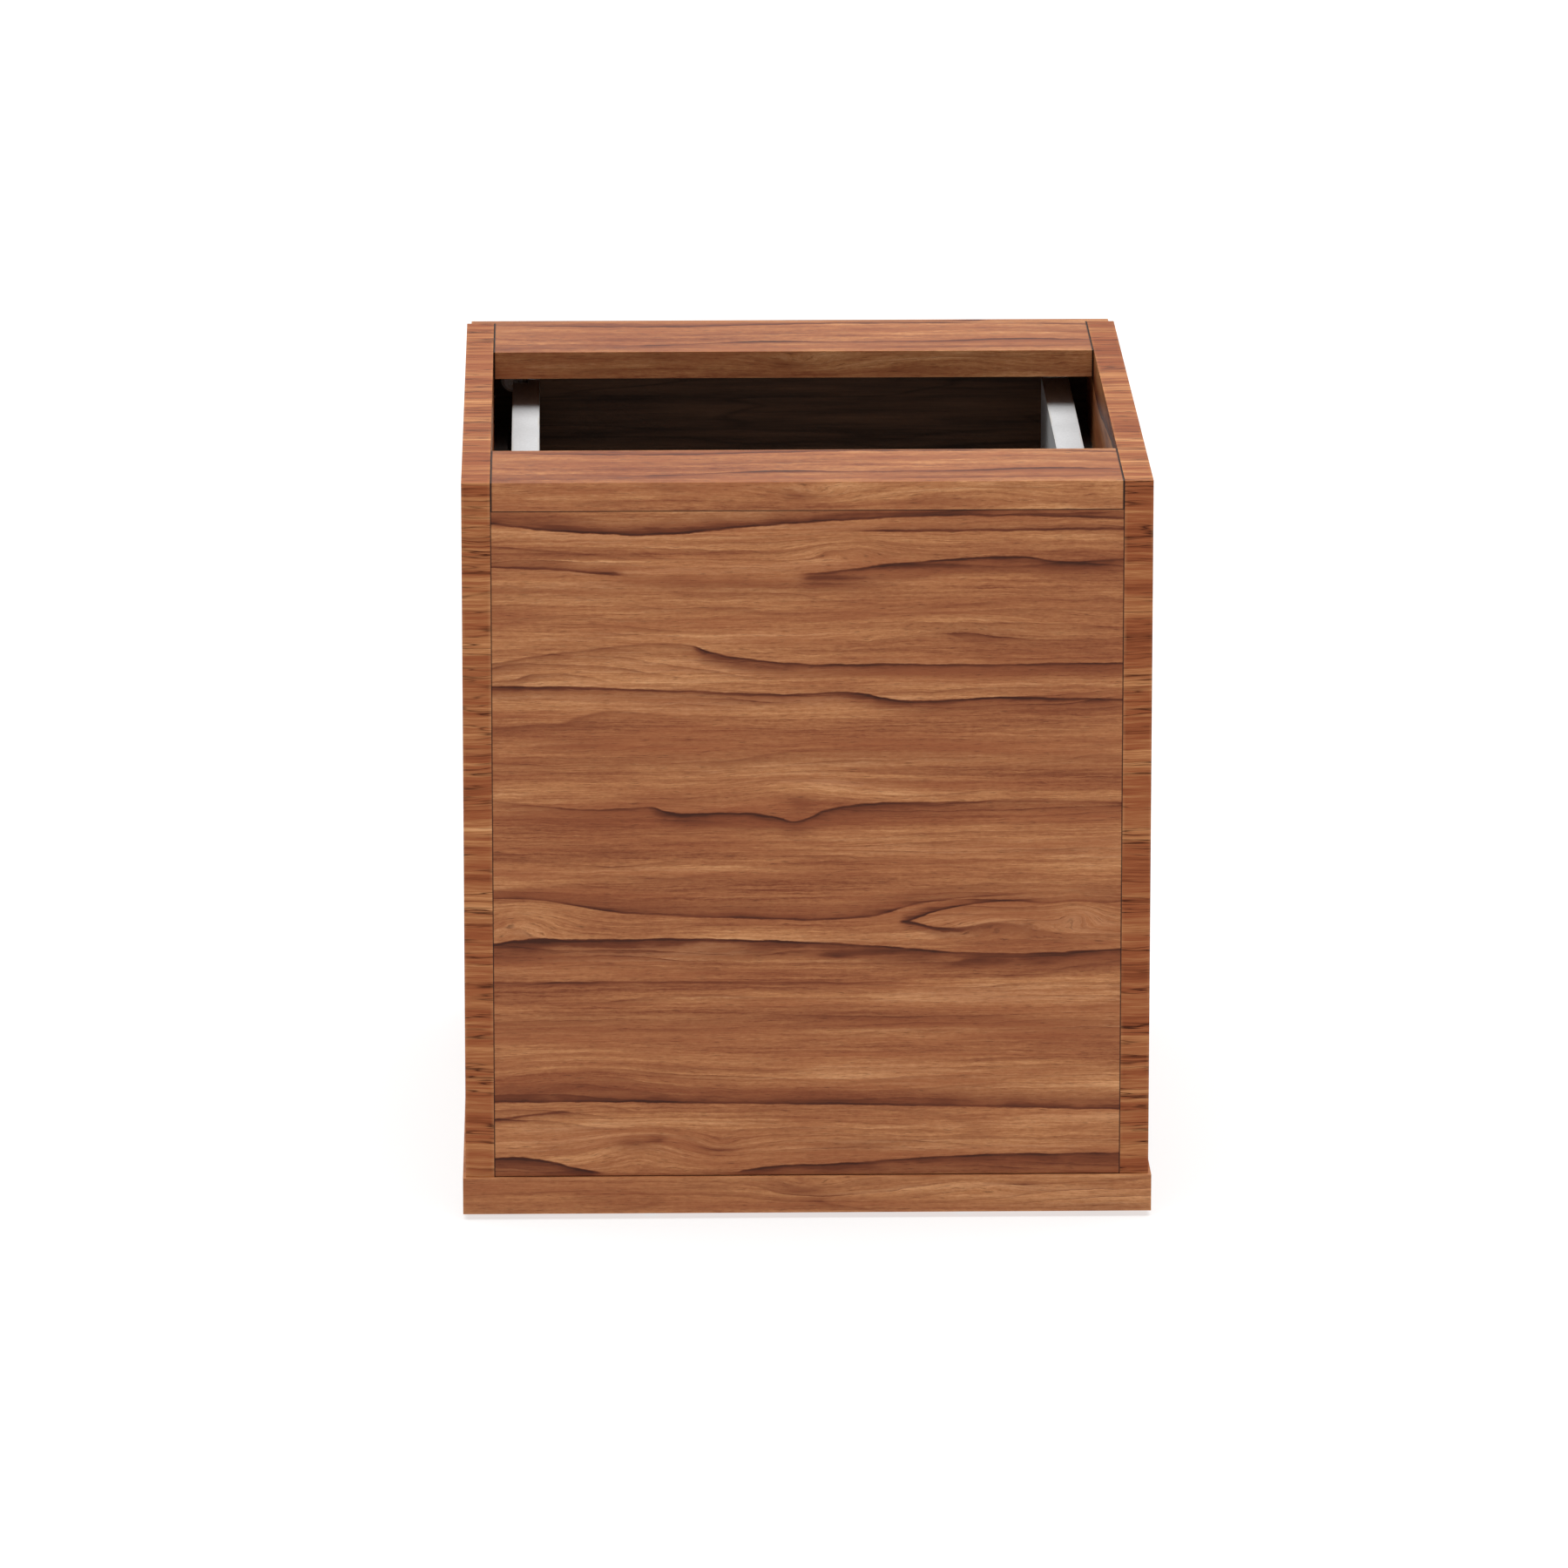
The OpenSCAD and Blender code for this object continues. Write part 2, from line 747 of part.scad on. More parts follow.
module lock_nut() {
    color("darkgray")
    difference() {
        rod_y([lock_x, face_y, lock_z], nut_r, nut_h);
        rod_y([lock_x, face_y - eps, lock_z], lock_dia / 2 + part_fit, nut_h + 2 * eps);
        for (side = [left, right])
            board(
                [lock_x + side * nut_r - nut_notch.x / 2, face_y + nut_h / 2, lock_z - nut_notch.y / 2],
                [lock_x + side * nut_r + nut_notch.x / 2, face_y + nut_h + eps, lock_z + nut_notch.y / 2]
            );
    }
}

module lock_plug() {
    body_y0 = show_y - flange_h;
    color("silver")
    difference() {
        union() {
            rod_y([lock_x, body_y0, lock_z], plug_r, cam_y0 - body_y0);
            board([lock_x - plug_neck / 2, cam_y0 - eps, lock_z - plug_neck / 2],
                [lock_x + plug_neck / 2, cam_y0 + cam_t, lock_z + plug_neck / 2]);
        }
        board([lock_x - keyway.x / 2, body_y0 - eps, lock_z - keyway.y / 2],
            [lock_x + keyway.x / 2, body_y0 + keyway.z, lock_z + keyway.y / 2]);
        rod_y([lock_x, cam_y0 + cam_t - cam_screw_len, lock_z], cam_screw_r + part_fit, cam_screw_len + eps);
    }
}

// The cam stands up when unlocked and turns out into the side panel's strike when locked
module lock_cam() {
    hole = plug_neck / 2 + part_fit;
    color("silver")
    difference() {
        union() {
            rod_y([lock_x, cam_y0, lock_z], cam_hub_r, cam_t);
            board([lock_x - cam_w / 2, cam_y0, lock_z], [lock_x + cam_w / 2, cam_y0 + cam_t, lock_z + cam_len]);
        }
        board([lock_x - hole, cam_y0 - eps, lock_z - hole],
            [lock_x + hole, cam_y0 + cam_t + eps, lock_z + hole]);
    }
}

module lock_cam_screw() {
    color("silver")
    difference() {
        union() {
            rod_y([lock_x, cam_y0 + cam_t + cam_screw_tip_gap - cam_screw_len, lock_z], cam_screw_r,
                cam_screw_len - cam_screw_tip_gap);
            rod_y([lock_x, cam_y0 + cam_t, lock_z], cam_screw_head_r, cam_screw_head_h);
        }
        driver_cut(lock_x, lock_z, cam_y0 + cam_t + cam_screw_head_h, driver_slot.x, driver_slot.y);
        driver_cut(lock_x, lock_z, cam_y0 + cam_t + cam_screw_head_h, driver_slot.y, driver_slot.x);
    }
}

module strike_plate() {
    color("silver")
    difference() {
        board([inner_x, cam_mid_y - strike_w / 2, lock_z - strike_low],
            [inner_x + strike_t, cam_mid_y + strike_w / 2, lock_z + strike_high]);
        board([inner_x - eps, cam_mid_y - slot_w / 2, lock_z - slot_low],
            [inner_x + strike_t + eps, cam_mid_y + slot_w / 2, lock_z + slot_high]);
        for (z = strike_screw_zs)
            rod_x([inner_x - eps, cam_mid_y, lock_z + z], strike_screw_r + part_fit, strike_t + 2 * eps);
    }
}

module strike_screws() {
    color("silver")
    for (z = strike_screw_zs) {
        rod_x([inner_x - strike_screw_head_h, cam_mid_y, lock_z + z], strike_screw_head_r, strike_screw_head_h);
        rod_x([inner_x - strike_screw_head_h, cam_mid_y, lock_z + z], strike_screw_r,
            strike_screw_head_h + strike_screw_len);
    }
}

// ---- nodes ----

side_panel(left);  // side_panel_left
side_panel(right);  // side_panel_right
back_panel();
base_panel();
top_rail(front_y + rail_d, false);  // front_rail
top_rail(back_y, true);  // rear_rail
carcass_dowels();
base_screws();
glides();
glide_nails();
strike_plate();
strike_screws();
cabinet_slide(upper, left);  // upper_cabinet_slide_left
cabinet_slide(upper, right);  // upper_cabinet_slide_right
cabinet_slide(lower, left);  // lower_cabinet_slide_left
cabinet_slide(lower, right);  // lower_cabinet_slide_right
cabinet_slide_screws();
middle_slide(upper, left);  // upper_middle_slide_left
middle_slide(upper, right);  // upper_middle_slide_right
outer_ball_cages(upper);  // upper_outer_ball_cages
inner_ball_cages(upper);  // upper_inner_ball_cages
drawer_front(upper);  // upper_drawer_front
drawer_side(upper, left);  // upper_drawer_side_left
drawer_side(upper, right);  // upper_drawer_side_right
drawer_back(upper);  // upper_drawer_back
drawer_bottom(upper);  // upper_drawer_bottom
drawer_dowels(upper);  // upper_drawer_dowels
drawer_slide(upper, left);  // upper_drawer_slide_left
drawer_slide(upper, right);  // upper_drawer_slide_right
drawer_slide_screws(upper);  // upper_slide_screws
pull(upper);  // upper_pull
pull_screws(upper);  // upper_pull_screws
bumpers(upper);  // upper_bumpers
lock_body();
lock_nut();
lock_plug();
lock_cam();
lock_cam_screw();
middle_slide(lower, left);  // lower_middle_slide_left
middle_slide(lower, right);  // lower_middle_slide_right
outer_ball_cages(lower);  // lower_outer_ball_cages
inner_ball_cages(lower);  // lower_inner_ball_cages
drawer_front(lower);  // lower_drawer_front
drawer_side(lower, left);  // lower_drawer_side_left
drawer_side(lower, right);  // lower_drawer_side_right
drawer_back(lower);  // lower_drawer_back
drawer_bottom(lower);  // lower_drawer_bottom
drawer_dowels(lower);  // lower_drawer_dowels
drawer_slide(lower, left);  // lower_drawer_slide_left
drawer_slide(lower, right);  // lower_drawer_slide_right
drawer_slide_screws(lower);  // lower_slide_screws
pull(lower);  // lower_pull
pull_screws(lower);  // lower_pull_screws
bumpers(lower);  // lower_bumpers
file_rails();
file_rail_screws();
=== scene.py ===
"""Looks for the open-topped drawer pedestal: wood-grain boards, light grey drawer boxes, zinc slides and
nickel pulls, on a pale studio floor.

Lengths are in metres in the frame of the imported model, and in millimetres inside the materials."""

import json
import math

import bpy
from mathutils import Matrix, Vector


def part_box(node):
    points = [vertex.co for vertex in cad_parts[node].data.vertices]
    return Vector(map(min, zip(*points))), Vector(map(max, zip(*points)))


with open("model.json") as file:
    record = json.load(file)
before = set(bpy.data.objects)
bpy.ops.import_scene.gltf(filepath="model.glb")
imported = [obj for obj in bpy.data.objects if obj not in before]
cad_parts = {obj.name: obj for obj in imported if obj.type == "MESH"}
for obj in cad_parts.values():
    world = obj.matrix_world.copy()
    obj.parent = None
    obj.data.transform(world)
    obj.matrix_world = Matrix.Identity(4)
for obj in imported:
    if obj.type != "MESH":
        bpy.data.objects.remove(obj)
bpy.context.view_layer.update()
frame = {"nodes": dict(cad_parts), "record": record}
MM = 0.001


# ---- camera, floor and light ----

CAMERA_LENS = 250.4
CAMERA_DISTANCE = 7.539
CAMERA_AZIMUTH = math.radians(1.175)
CAMERA_ELEVATION = math.radians(13.83)
CAMERA_AIM = Vector((9.6 * MM, 0.0, 227.4 * MM))
CAMERA_CLIP_END = 100.0


def make_camera():
    """A long lens behind the unit, a little to its right and looking down at it."""
    towards = Vector((
        math.sin(CAMERA_AZIMUTH) * math.cos(CAMERA_ELEVATION),
        math.cos(CAMERA_AZIMUTH) * math.cos(CAMERA_ELEVATION),
        math.sin(CAMERA_ELEVATION),
    ))
    data = bpy.data.cameras.new("camera")
    data.lens = CAMERA_LENS
    data.clip_end = CAMERA_CLIP_END
    camera = bpy.data.objects.new("camera", data)
    camera.location = CAMERA_AIM + towards * CAMERA_DISTANCE
    camera.rotation_euler = (-towards).to_track_quat("-Z", "Y").to_euler()
    bpy.context.scene.collection.objects.link(camera)
    bpy.context.scene.camera = camera


FLOOR_HALF = 60.0
FLOOR_GAP = 0.02 * MM
FLOOR_GREY = 0.35
FLOOR_GLOW = 0.68


def make_floor():
    """A pale floor just under the unit, which glows a little so that it stays white under soft light."""
    mesh = bpy.data.meshes.new("floor")
    corners = [(x * FLOOR_HALF, y * FLOOR_HALF, -FLOOR_GAP) for x, y in ((-1, -1), (1, -1), (1, 1), (-1, 1))]
    mesh.from_pydata(corners, [], [(0, 1, 2, 3)])
    floor = bpy.data.objects.new("floor", mesh)
    bpy.context.scene.collection.objects.link(floor)
    t = Tree("pale_floor")
    t.shader(color=(FLOOR_GREY, FLOOR_GREY, FLOOR_GREY), roughness=0.9, specular=0.1)
    t.set(t.bsdf.inputs["Emission Color"], (1.0, 1.0, 1.0))
    t.set(t.bsdf.inputs["Emission Strength"], FLOOR_GLOW)
    mesh.materials.append(t.material)


SUN_STRENGTH = 3.85
SUN_ANGLE = math.radians(78)
WORLD_STRENGTH = 0.16
PANEL_POWER = 14.0
PANEL_SIZE = (5.0, 2.2)
PANEL_PLACE = (0.0, -5.0, 1.8)


def make_lights():
    """A white world, a broad overhead sun, and a soft panel in front of the unit that no camera sees."""
    world = bpy.data.worlds.new("studio")
    bpy.context.scene.world = world
    world.use_nodes = True
    background = world.node_tree.nodes["Background"]
    background.inputs["Color"].default_value = (1, 1, 1, 1)
    background.inputs["Strength"].default_value = WORLD_STRENGTH

    data = bpy.data.lights.new("overhead", "SUN")
    data.energy = SUN_STRENGTH
    data.angle = SUN_ANGLE
    bpy.context.scene.collection.objects.link(bpy.data.objects.new("overhead", data))

    data = bpy.data.lights.new("soft_panel", "AREA")
    data.shape = "RECTANGLE"
    data.size, data.size_y = PANEL_SIZE
    data.energy = PANEL_POWER
    panel = bpy.data.objects.new("soft_panel", data)
    panel.location = PANEL_PLACE
    panel.rotation_euler = Vector(PANEL_PLACE).to_track_quat("Z", "Y").to_euler()
    panel.visible_camera = False
    bpy.context.scene.collection.objects.link(panel)

    bpy.context.scene.view_settings.view_transform = "Standard"


# ---- material trees ----

def srgb(r, g, b):
    """A colour given as 0-255 display values, in linear light."""
    def linear(c):
        c /= 255
        return c / 12.92 if c <= 0.04045 else ((c + 0.055) / 1.055) ** 2.4
    return (linear(r), linear(g), linear(b))


class Tree:
    """A material's node tree with short calls for the nodes that the materials here use."""

    def __init__(self, name):
        self.material = bpy.data.materials.new(name)
        self.material.use_nodes = True
        self.nodes = self.material.node_tree.nodes
        self.links = self.material.node_tree.links
        self.bsdf = self.nodes["Principled BSDF"]

    def set(self, socket, value):
        """Links a node's output to a socket, or gives the socket a constant. None leaves it as it is."""
        if isinstance(value, bpy.types.NodeSocket):
            self.links.new(value, socket)
        elif value is not None:
            if isinstance(value, tuple) and len(value) == 3 and socket.type == "RGBA":
                value = (*value, 1.0)
            socket.default_value = value

    def node(self, kind, inputs=(), **settings):
        n = self.nodes.new(kind)
        for key, value in settings.items():
            setattr(n, key, value)
        for key, value in dict(inputs).items():
            self.set(n.inputs[key], value)
        return n

    def math(self, operation, a, b=None, clamp=False):
        return self.node("ShaderNodeMath", {0: a, 1: b}, operation=operation, use_clamp=clamp).outputs[0]

    def add(self, a, b):
        return self.math("ADD", a, b)

    def sub(self, a, b):
        return self.math("SUBTRACT", a, b)

    def mul(self, a, b):
        return self.math("MULTIPLY", a, b)

    def muladd(self, a, b, c):
        return self.node("ShaderNodeMath", {0: a, 1: b, 2: c}, operation="MULTIPLY_ADD").outputs[0]

    def place_and_normal(self):
        """The object's own X, Y and Z in millimetres, and its normal's."""
        texture = self.node("ShaderNodeTexCoord")
        place = self.node("ShaderNodeSeparateXYZ", {0: texture.outputs["Object"]})
        normal = self.node("ShaderNodeSeparateXYZ", {0: texture.outputs["Normal"]})
        return [self.mul(value, 1 / MM) for value in place.outputs], list(normal.outputs)

    def vector(self, x, y, z=0.0):
        return self.node("ShaderNodeCombineXYZ", {0: x, 1: y, 2: z}).outputs[0]

    def noise(self, vector, detail=2.0, roughness=0.5):
        """Smooth noise centred on 0, from about -0.5 to 0.5."""
        n = self.node("ShaderNodeTexNoise",
                      {"Vector": vector, "Scale": 1.0, "Detail": detail, "Roughness": roughness})
        return self.sub(n.outputs[0], 0.5)

    def drawn_out(self, along, across, per_along, per_across, key, layer=0.0, detail=2.0, roughness=0.5):
        """Noise drawn out along the grain, with its two frequencies per millimetre."""
        place = self.vector(self.muladd(along, per_along, key), self.mul(across, per_across), layer)
        return self.noise(place, detail, roughness)

    def noise_in(self, place, frequency, detail=2.0, roughness=0.5):
        """Noise with one frequency per millimetre, or with one for each axis."""
        each = frequency if isinstance(frequency, tuple) else (frequency,) * 3
        scaled = [self.mul(value, f) for value, f in zip(place, each)]
        return self.noise(self.vector(*scaled), detail, roughness)

    def remap(self, value, from_min, from_max, to_min=0.0, to_max=1.0):
        return self.node("ShaderNodeMapRange",
                         {0: value, 1: from_min, 2: from_max, 3: to_min, 4: to_max}).outputs[0]

    def ramp(self, value, stops):
        """Greys or colours along a value; stops are (position, grey) or (position, (r, g, b))."""
        n = self.node("ShaderNodeValToRGB", {0: value})
        elements = n.color_ramp.elements
        while len(elements) < len(stops):
            elements.new(0.5)
        for element, (position, colour) in zip(elements, stops):
            element.position = position
            element.color = (*colour, 1) if isinstance(colour, tuple) else (colour, colour, colour, 1)
        return n.outputs[0]

    def curve(self, value, points):
        """A smooth curve through points with both coordinates from 0 to 1."""
        n = self.node("ShaderNodeFloatCurve", {1: value})
        line = n.mapping.curves[0]
        line.points[0].location = points[0]
        line.points[1].location = points[-1]
        for point in points[1:-1]:
            line.points.new(*point)
        n.mapping.update()
        return n.outputs[0]

    def mix(self, factor, a, b):
        n = self.node("ShaderNodeMix", data_type="RGBA")
        for index, value in ((0, factor), (6, a), (7, b)):
            self.set(n.inputs[index], value)
        return n.outputs[2]

    def choose(self, factor, a, b):
        n = self.node("ShaderNodeMix", data_type="FLOAT")
        for index, value in ((0, factor), (2, a), (3, b)):
            self.set(n.inputs[index], value)
        return n.outputs[0]

    def shader(self, color, roughness, metallic=None, specular=None, bump=None, bump_depth=None,
               transmission=None):
        """Sets the surface's own inputs. What is left out keeps Blender's value."""
        values = {"Base Color": color, "Roughness": roughness, "Metallic": metallic,
                  "Specular IOR Level": specular, "Transmission Weight": transmission}
        for key, value in values.items():
            self.set(self.bsdf.inputs[key], value)
        if bump is not None:
            n = self.node("ShaderNodeBump", {"Height": bump, "Strength": 1.0, "Distance": bump_depth})
            self.links.new(n.outputs[0], self.bsdf.inputs["Normal"])


# ---- wood print ----

# Colours of the printed grain, from its darkest line to its lightest ground
WOOD_LINE = srgb(66, 27, 9)
WOOD_BAND = srgb(124, 63, 35)
WOOD_RED = srgb(156, 87, 52)
WOOD_MID = srgb(166, 103, 64)
WOOD_TAN = srgb(188, 126, 80)
WOOD_LIGHT = srgb(222, 163, 114)
# Painted shade for the drawer fronts' rear faces, which stands in for the shade inside the drawers
REAR_SHADE_LIGHT = srgb(128, 93, 68)
REAR_SHADE_DARK = srgb(68, 49, 37)
# Painted shade: the colour of the dark lines at the boards' joints, where the gaps between parts lie in shade
SEAM_SHADE = srgb(30, 14, 8)

# Darkness along the field that the free veins follow: each sharp rise is a line with its shade above it
CONTOURS = [(0.0, 0.0), (0.30, 0.05), (0.325, 0.35), (0.33, 1.0), (0.338, 0.1), (0.42, 0.0), (0.47, 0.28),
            (0.488, 0.9), (0.495, 0.12), (0.56, 0.03), (0.6, 0.3), (0.63, 1.0), (0.637, 0.1), (0.7, 0.05),
            (0.735, 0.75), (0.742, 0.1), (1.0, 0.0)]


class Vein:
    """A dark line of the grain with a soft shade on one side, in millimetres of the board's figure.

    path is (along, across) and strength is (along, 0 to 1). side is 1 where the shade lies further from the
    figure's top edge and -1 where it lies nearer. reach is how far the shade goes, and line is how dark the
    line itself is."""

    def __init__(self, path, strength, side=1, reach=14.0, line=1.0):
        self.path = path
        self.strength = strength
        self.side = side
        self.reach = reach
        self.line = line

    def profile(self):
        """Ramp stops for the darkness across the vein, with its path at 0.5."""
        half = 2 * self.reach
        stops = [(-1.0, 0.0), (-0.3, 0.85 * self.line), (0.35, self.line), (1.15, 0.3 + 0.34 * self.line),
                 (0.28 * self.reach, 0.44), (0.62 * self.reach, 0.26), (self.reach, 0.0)]
        return [(0.5 + distance / half, grey) for distance, grey in sorted(stops)]


def hump(t, along, across, u, v, half_length, half_width):
    """A round-topped hump of height 1 at (u, v)."""
    du = t.mul(t.sub(along, u), 1 / half_length)
    dv = t.mul(t.sub(across, v), 1 / half_width)
    return t.math("POWER", math.e, t.mul(t.muladd(du, du, t.mul(dv, dv)), -1.0))


def drawn_veins(t, share, height, veins, length, width):
    """How dark each Vein makes a point; share and height are its place as shares of the figure's size."""
    parts = []
    for vein in veins:
        path = t.curve(share, [(a / length, b / width) for a, b in vein.path])
        reach = vein.side * vein.reach / width
        shade = t.ramp(t.remap(t.sub(height, path), -reach, reach), vein.profile())
        parts.append(t.mul(shade, t.curve(share, [(a / length, b) for a, b in vein.strength])))
    return parts


def free_veins(t, along, bent, key, strength):
    """Veins that no Vein describes: they follow the contours of a noise field."""
    field = t.drawn_out(along, bent, 0.0022, 0.021, key, key, detail=1.0)
    shade = t.ramp(t.add(field, 0.5), CONTOURS)
    presence = t.remap(t.drawn_out(along, bent, 0.008, 0.03, key + 9), -0.2, 0.25)
    return t.mul(t.mul(shade, presence), strength)


def growth_rings(t, along, bent, key, strength):
    """Fine rings between the veins, sharp on one side, that come and go."""
    drift = t.drawn_out(along, bent, 0.0025, 0.016, key, key + 2, detail=3.0)
    rings = t.muladd(bent, 0.16, t.mul(drift, 9.0))
    sharp = t.ramp(t.math("FRACT", rings), [(0.0, 0.0), (0.06, 1.0), (0.2, 0.5), (0.5, 0.2), (1.0, 0.0)])
    shown = t.remap(t.drawn_out(along, bent, 0.007, 0.05, key + 6), -0.12, 0.25)
    return t.mul(t.mul(sharp, shown), strength)


def wood_ground(t, along, across, bent, key, glows, tone, grain, calm):
    """The colour between the veins, with the streaks and the fibre that it is made of."""
    broad = t.drawn_out(along, bent, 0.003, 0.05, key, key, detail=3.0, roughness=0.6)
    streak = t.drawn_out(along, bent, 0.0045, 0.36 * grain, key, key, detail=3.0, roughness=0.7)
    fibre = t.drawn_out(along, bent, 0.035, 1.1 * grain, key, key, detail=4.0, roughness=0.85)
    mottle = t.drawn_out(along, across, 0.22, 0.5, key, key, roughness=0.7)
    level = t.muladd(streak, 1.05 * calm, t.muladd(fibre, 1.25 * calm, t.muladd(mottle, 0.42, 0.47 + tone)))
    level = t.muladd(broad, 1.6 * calm, level)
    for glow in glows:
        level = t.muladd(hump(t, along, bent, *glow[:4]), glow[4], level)
    ground = t.ramp(level, [(0.0, WOOD_BAND), (0.36, WOOD_MID), (0.62, WOOD_TAN), (1.0, WOOD_LIGHT)])
    warm = t.drawn_out(along, bent, 0.004, 0.06, key + 3, detail=3.0, roughness=0.6)
    return t.mix(t.remap(warm, -0.06, 0.22, 0.0, 0.75), ground, WOOD_RED), streak, fibre


def wood_figure(t, along, across, length, width, key, veins=(), eyes=(), knots=(), glows=(), contours=0.6,
                tone=0.0, grain=1.0, growth=0.4, calm=1.0):
    """The printed grain at (along, across), in millimetres: its colour, how dark it is and its relief.

    key picks the noise, and veins are drawn over a figure that is length by width. eyes are (along, across,
    half length, half width, push), where the grain bows aside. knots are (along, across, half length,
    half width, strength), and glows are lighter places given the same way. contours is the strength of the
    veins that no Vein describes, tone lightens the ground, and grain is above 1 where the streaks are finer.
    growth is the strength of the fine rings, and calm is below 1 where the ground is evener."""
    wave = t.drawn_out(along, across, 0.006, 0.022, key)
    ripple = t.drawn_out(along, across, 0.05, 0.16, key, detail=4.0, roughness=0.6)
    bent = t.muladd(wave, 3.2, t.muladd(ripple, 2.8, across))
    for eye in eyes:
        bent = t.muladd(hump(t, along, across, *eye[:4]), eye[4], bent)

    parts = drawn_veins(t, t.mul(along, 1 / length), t.mul(bent, 1 / width), veins, length, width)
    parts.append(free_veins(t, along, bent, key, contours))
    ragged = t.muladd(ripple, 14.0, along)
    for knot in knots:
        parts.append(t.mul(hump(t, ragged, bent, *knot[:4]), knot[4]))
    parts.append(growth_rings(t, along, bent, key, growth))
    dark = parts[0]
    for part in parts[1:]:
        dark = t.add(dark, part)
    patchy = t.drawn_out(along, across, 0.025, 0.09, key + 8, detail=3.0)
    dark = t.mul(dark, t.remap(patchy, -0.2, 0.1, 0.68, 1.12))

    ground, streak, fibre = wood_ground(t, along, across, bent, key, glows, tone, grain, calm)
    lively = t.muladd(streak, 1.1, t.muladd(fibre, 0.5, 1.0))
    depth = t.math("MULTIPLY", dark, lively, clamp=True)
    soft = t.mix(t.math("MULTIPLY", depth, 1.7, clamp=True), ground, WOOD_BAND)
    colour = t.mix(t.remap(depth, 0.42, 1.0), soft, WOOD_LINE)
    pores = t.remap(t.drawn_out(along, bent, 0.11, 1.9, key, key + 4, detail=1.0), 0.09, 0.27, 0.0, 0.55)
    relief = t.sub(t.muladd(fibre, 0.6, t.mul(streak, 0.4)), pores)
    return t.mix(pores, colour, WOOD_LINE), depth, relief


def edge_distance(t, place, low, high):
    """How far a point on a board's surface is from the board's nearest edge, and how deep it lies inside the
    board's box along each axis."""
    inset = []
    for axis in range(3):
        middle, half = (low[axis] + high[axis]) / 2 / MM, (high[axis] - low[axis]) / 2 / MM
        inset.append(t.sub(half, t.math("ABSOLUTE", t.sub(place[axis], middle))))
    pairs = [t.math("MAXIMUM", inset[a], inset[b]) for a, b in ((0, 1), (1, 2), (0, 2))]
    return t.math("MINIMUM", pairs[0], t.math("MINIMUM", pairs[1], pairs[2])), inset


def finish_board(t, node, colour, depth, relief, place, seam_shades=(), wear_and_highlight=0.4, gloss=0.18):
    """Gives a wood board its rubbed edges, dark joint lines of painted shade, roughness and relief.

    seam_shades are (axis, width, strength) for the dark lines of painted shade at the board's two ends along
    that axis, where it meets the next part. wear_and_highlight is how light the rubbed edges get, partly from
    wear and partly as a painted highlight, and gloss is the surface's specular level."""
    low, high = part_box(node)
    edge, inset = edge_distance(t, place, low, high)
    patchy = t.noise_in(place, 0.035, detail=3.0, roughness=0.7)
    # Rubbed edges: rougher from wear, and lighter in colour, partly from wear and partly as a painted
    # highlight
    worn = t.mul(t.remap(edge, 0.3, 2.2, 1.0, 0.0), t.remap(patchy, -0.12, 0.2))
    colour = t.mix(t.mul(worn, wear_and_highlight), colour, WOOD_LIGHT)
    # Dark lines of painted shade at the board's ends, standing in for the shaded gap where it meets the next
    # part
    for axis, reach, strength in seam_shades:
        line = t.mul(t.remap(inset[axis], reach * 0.5, reach, 1.0, 0.0), strength)
        colour = t.mix(line, colour, SEAM_SHADE)
    rough = t.muladd(relief, 0.16, t.muladd(worn, 0.15, t.muladd(depth, -0.05, 0.42)))
    t.shader(color=colour, roughness=rough, specular=gloss, bump=relief, bump_depth=0.06 * MM)
    return t.material


# ---- the print on each board ----

# Where each board's print starts in the noise, so that no two boards look the same
BACK_KEY = 3.1
RAIL_KEY = 7.7
SLAB_KEY = 12.9
SIDE_KEYS = {"side_panel_left": 21.3, "side_panel_right": 25.9}
FRONT_KEYS = {"upper_drawer_front": 33.4, "lower_drawer_front": 38.8}

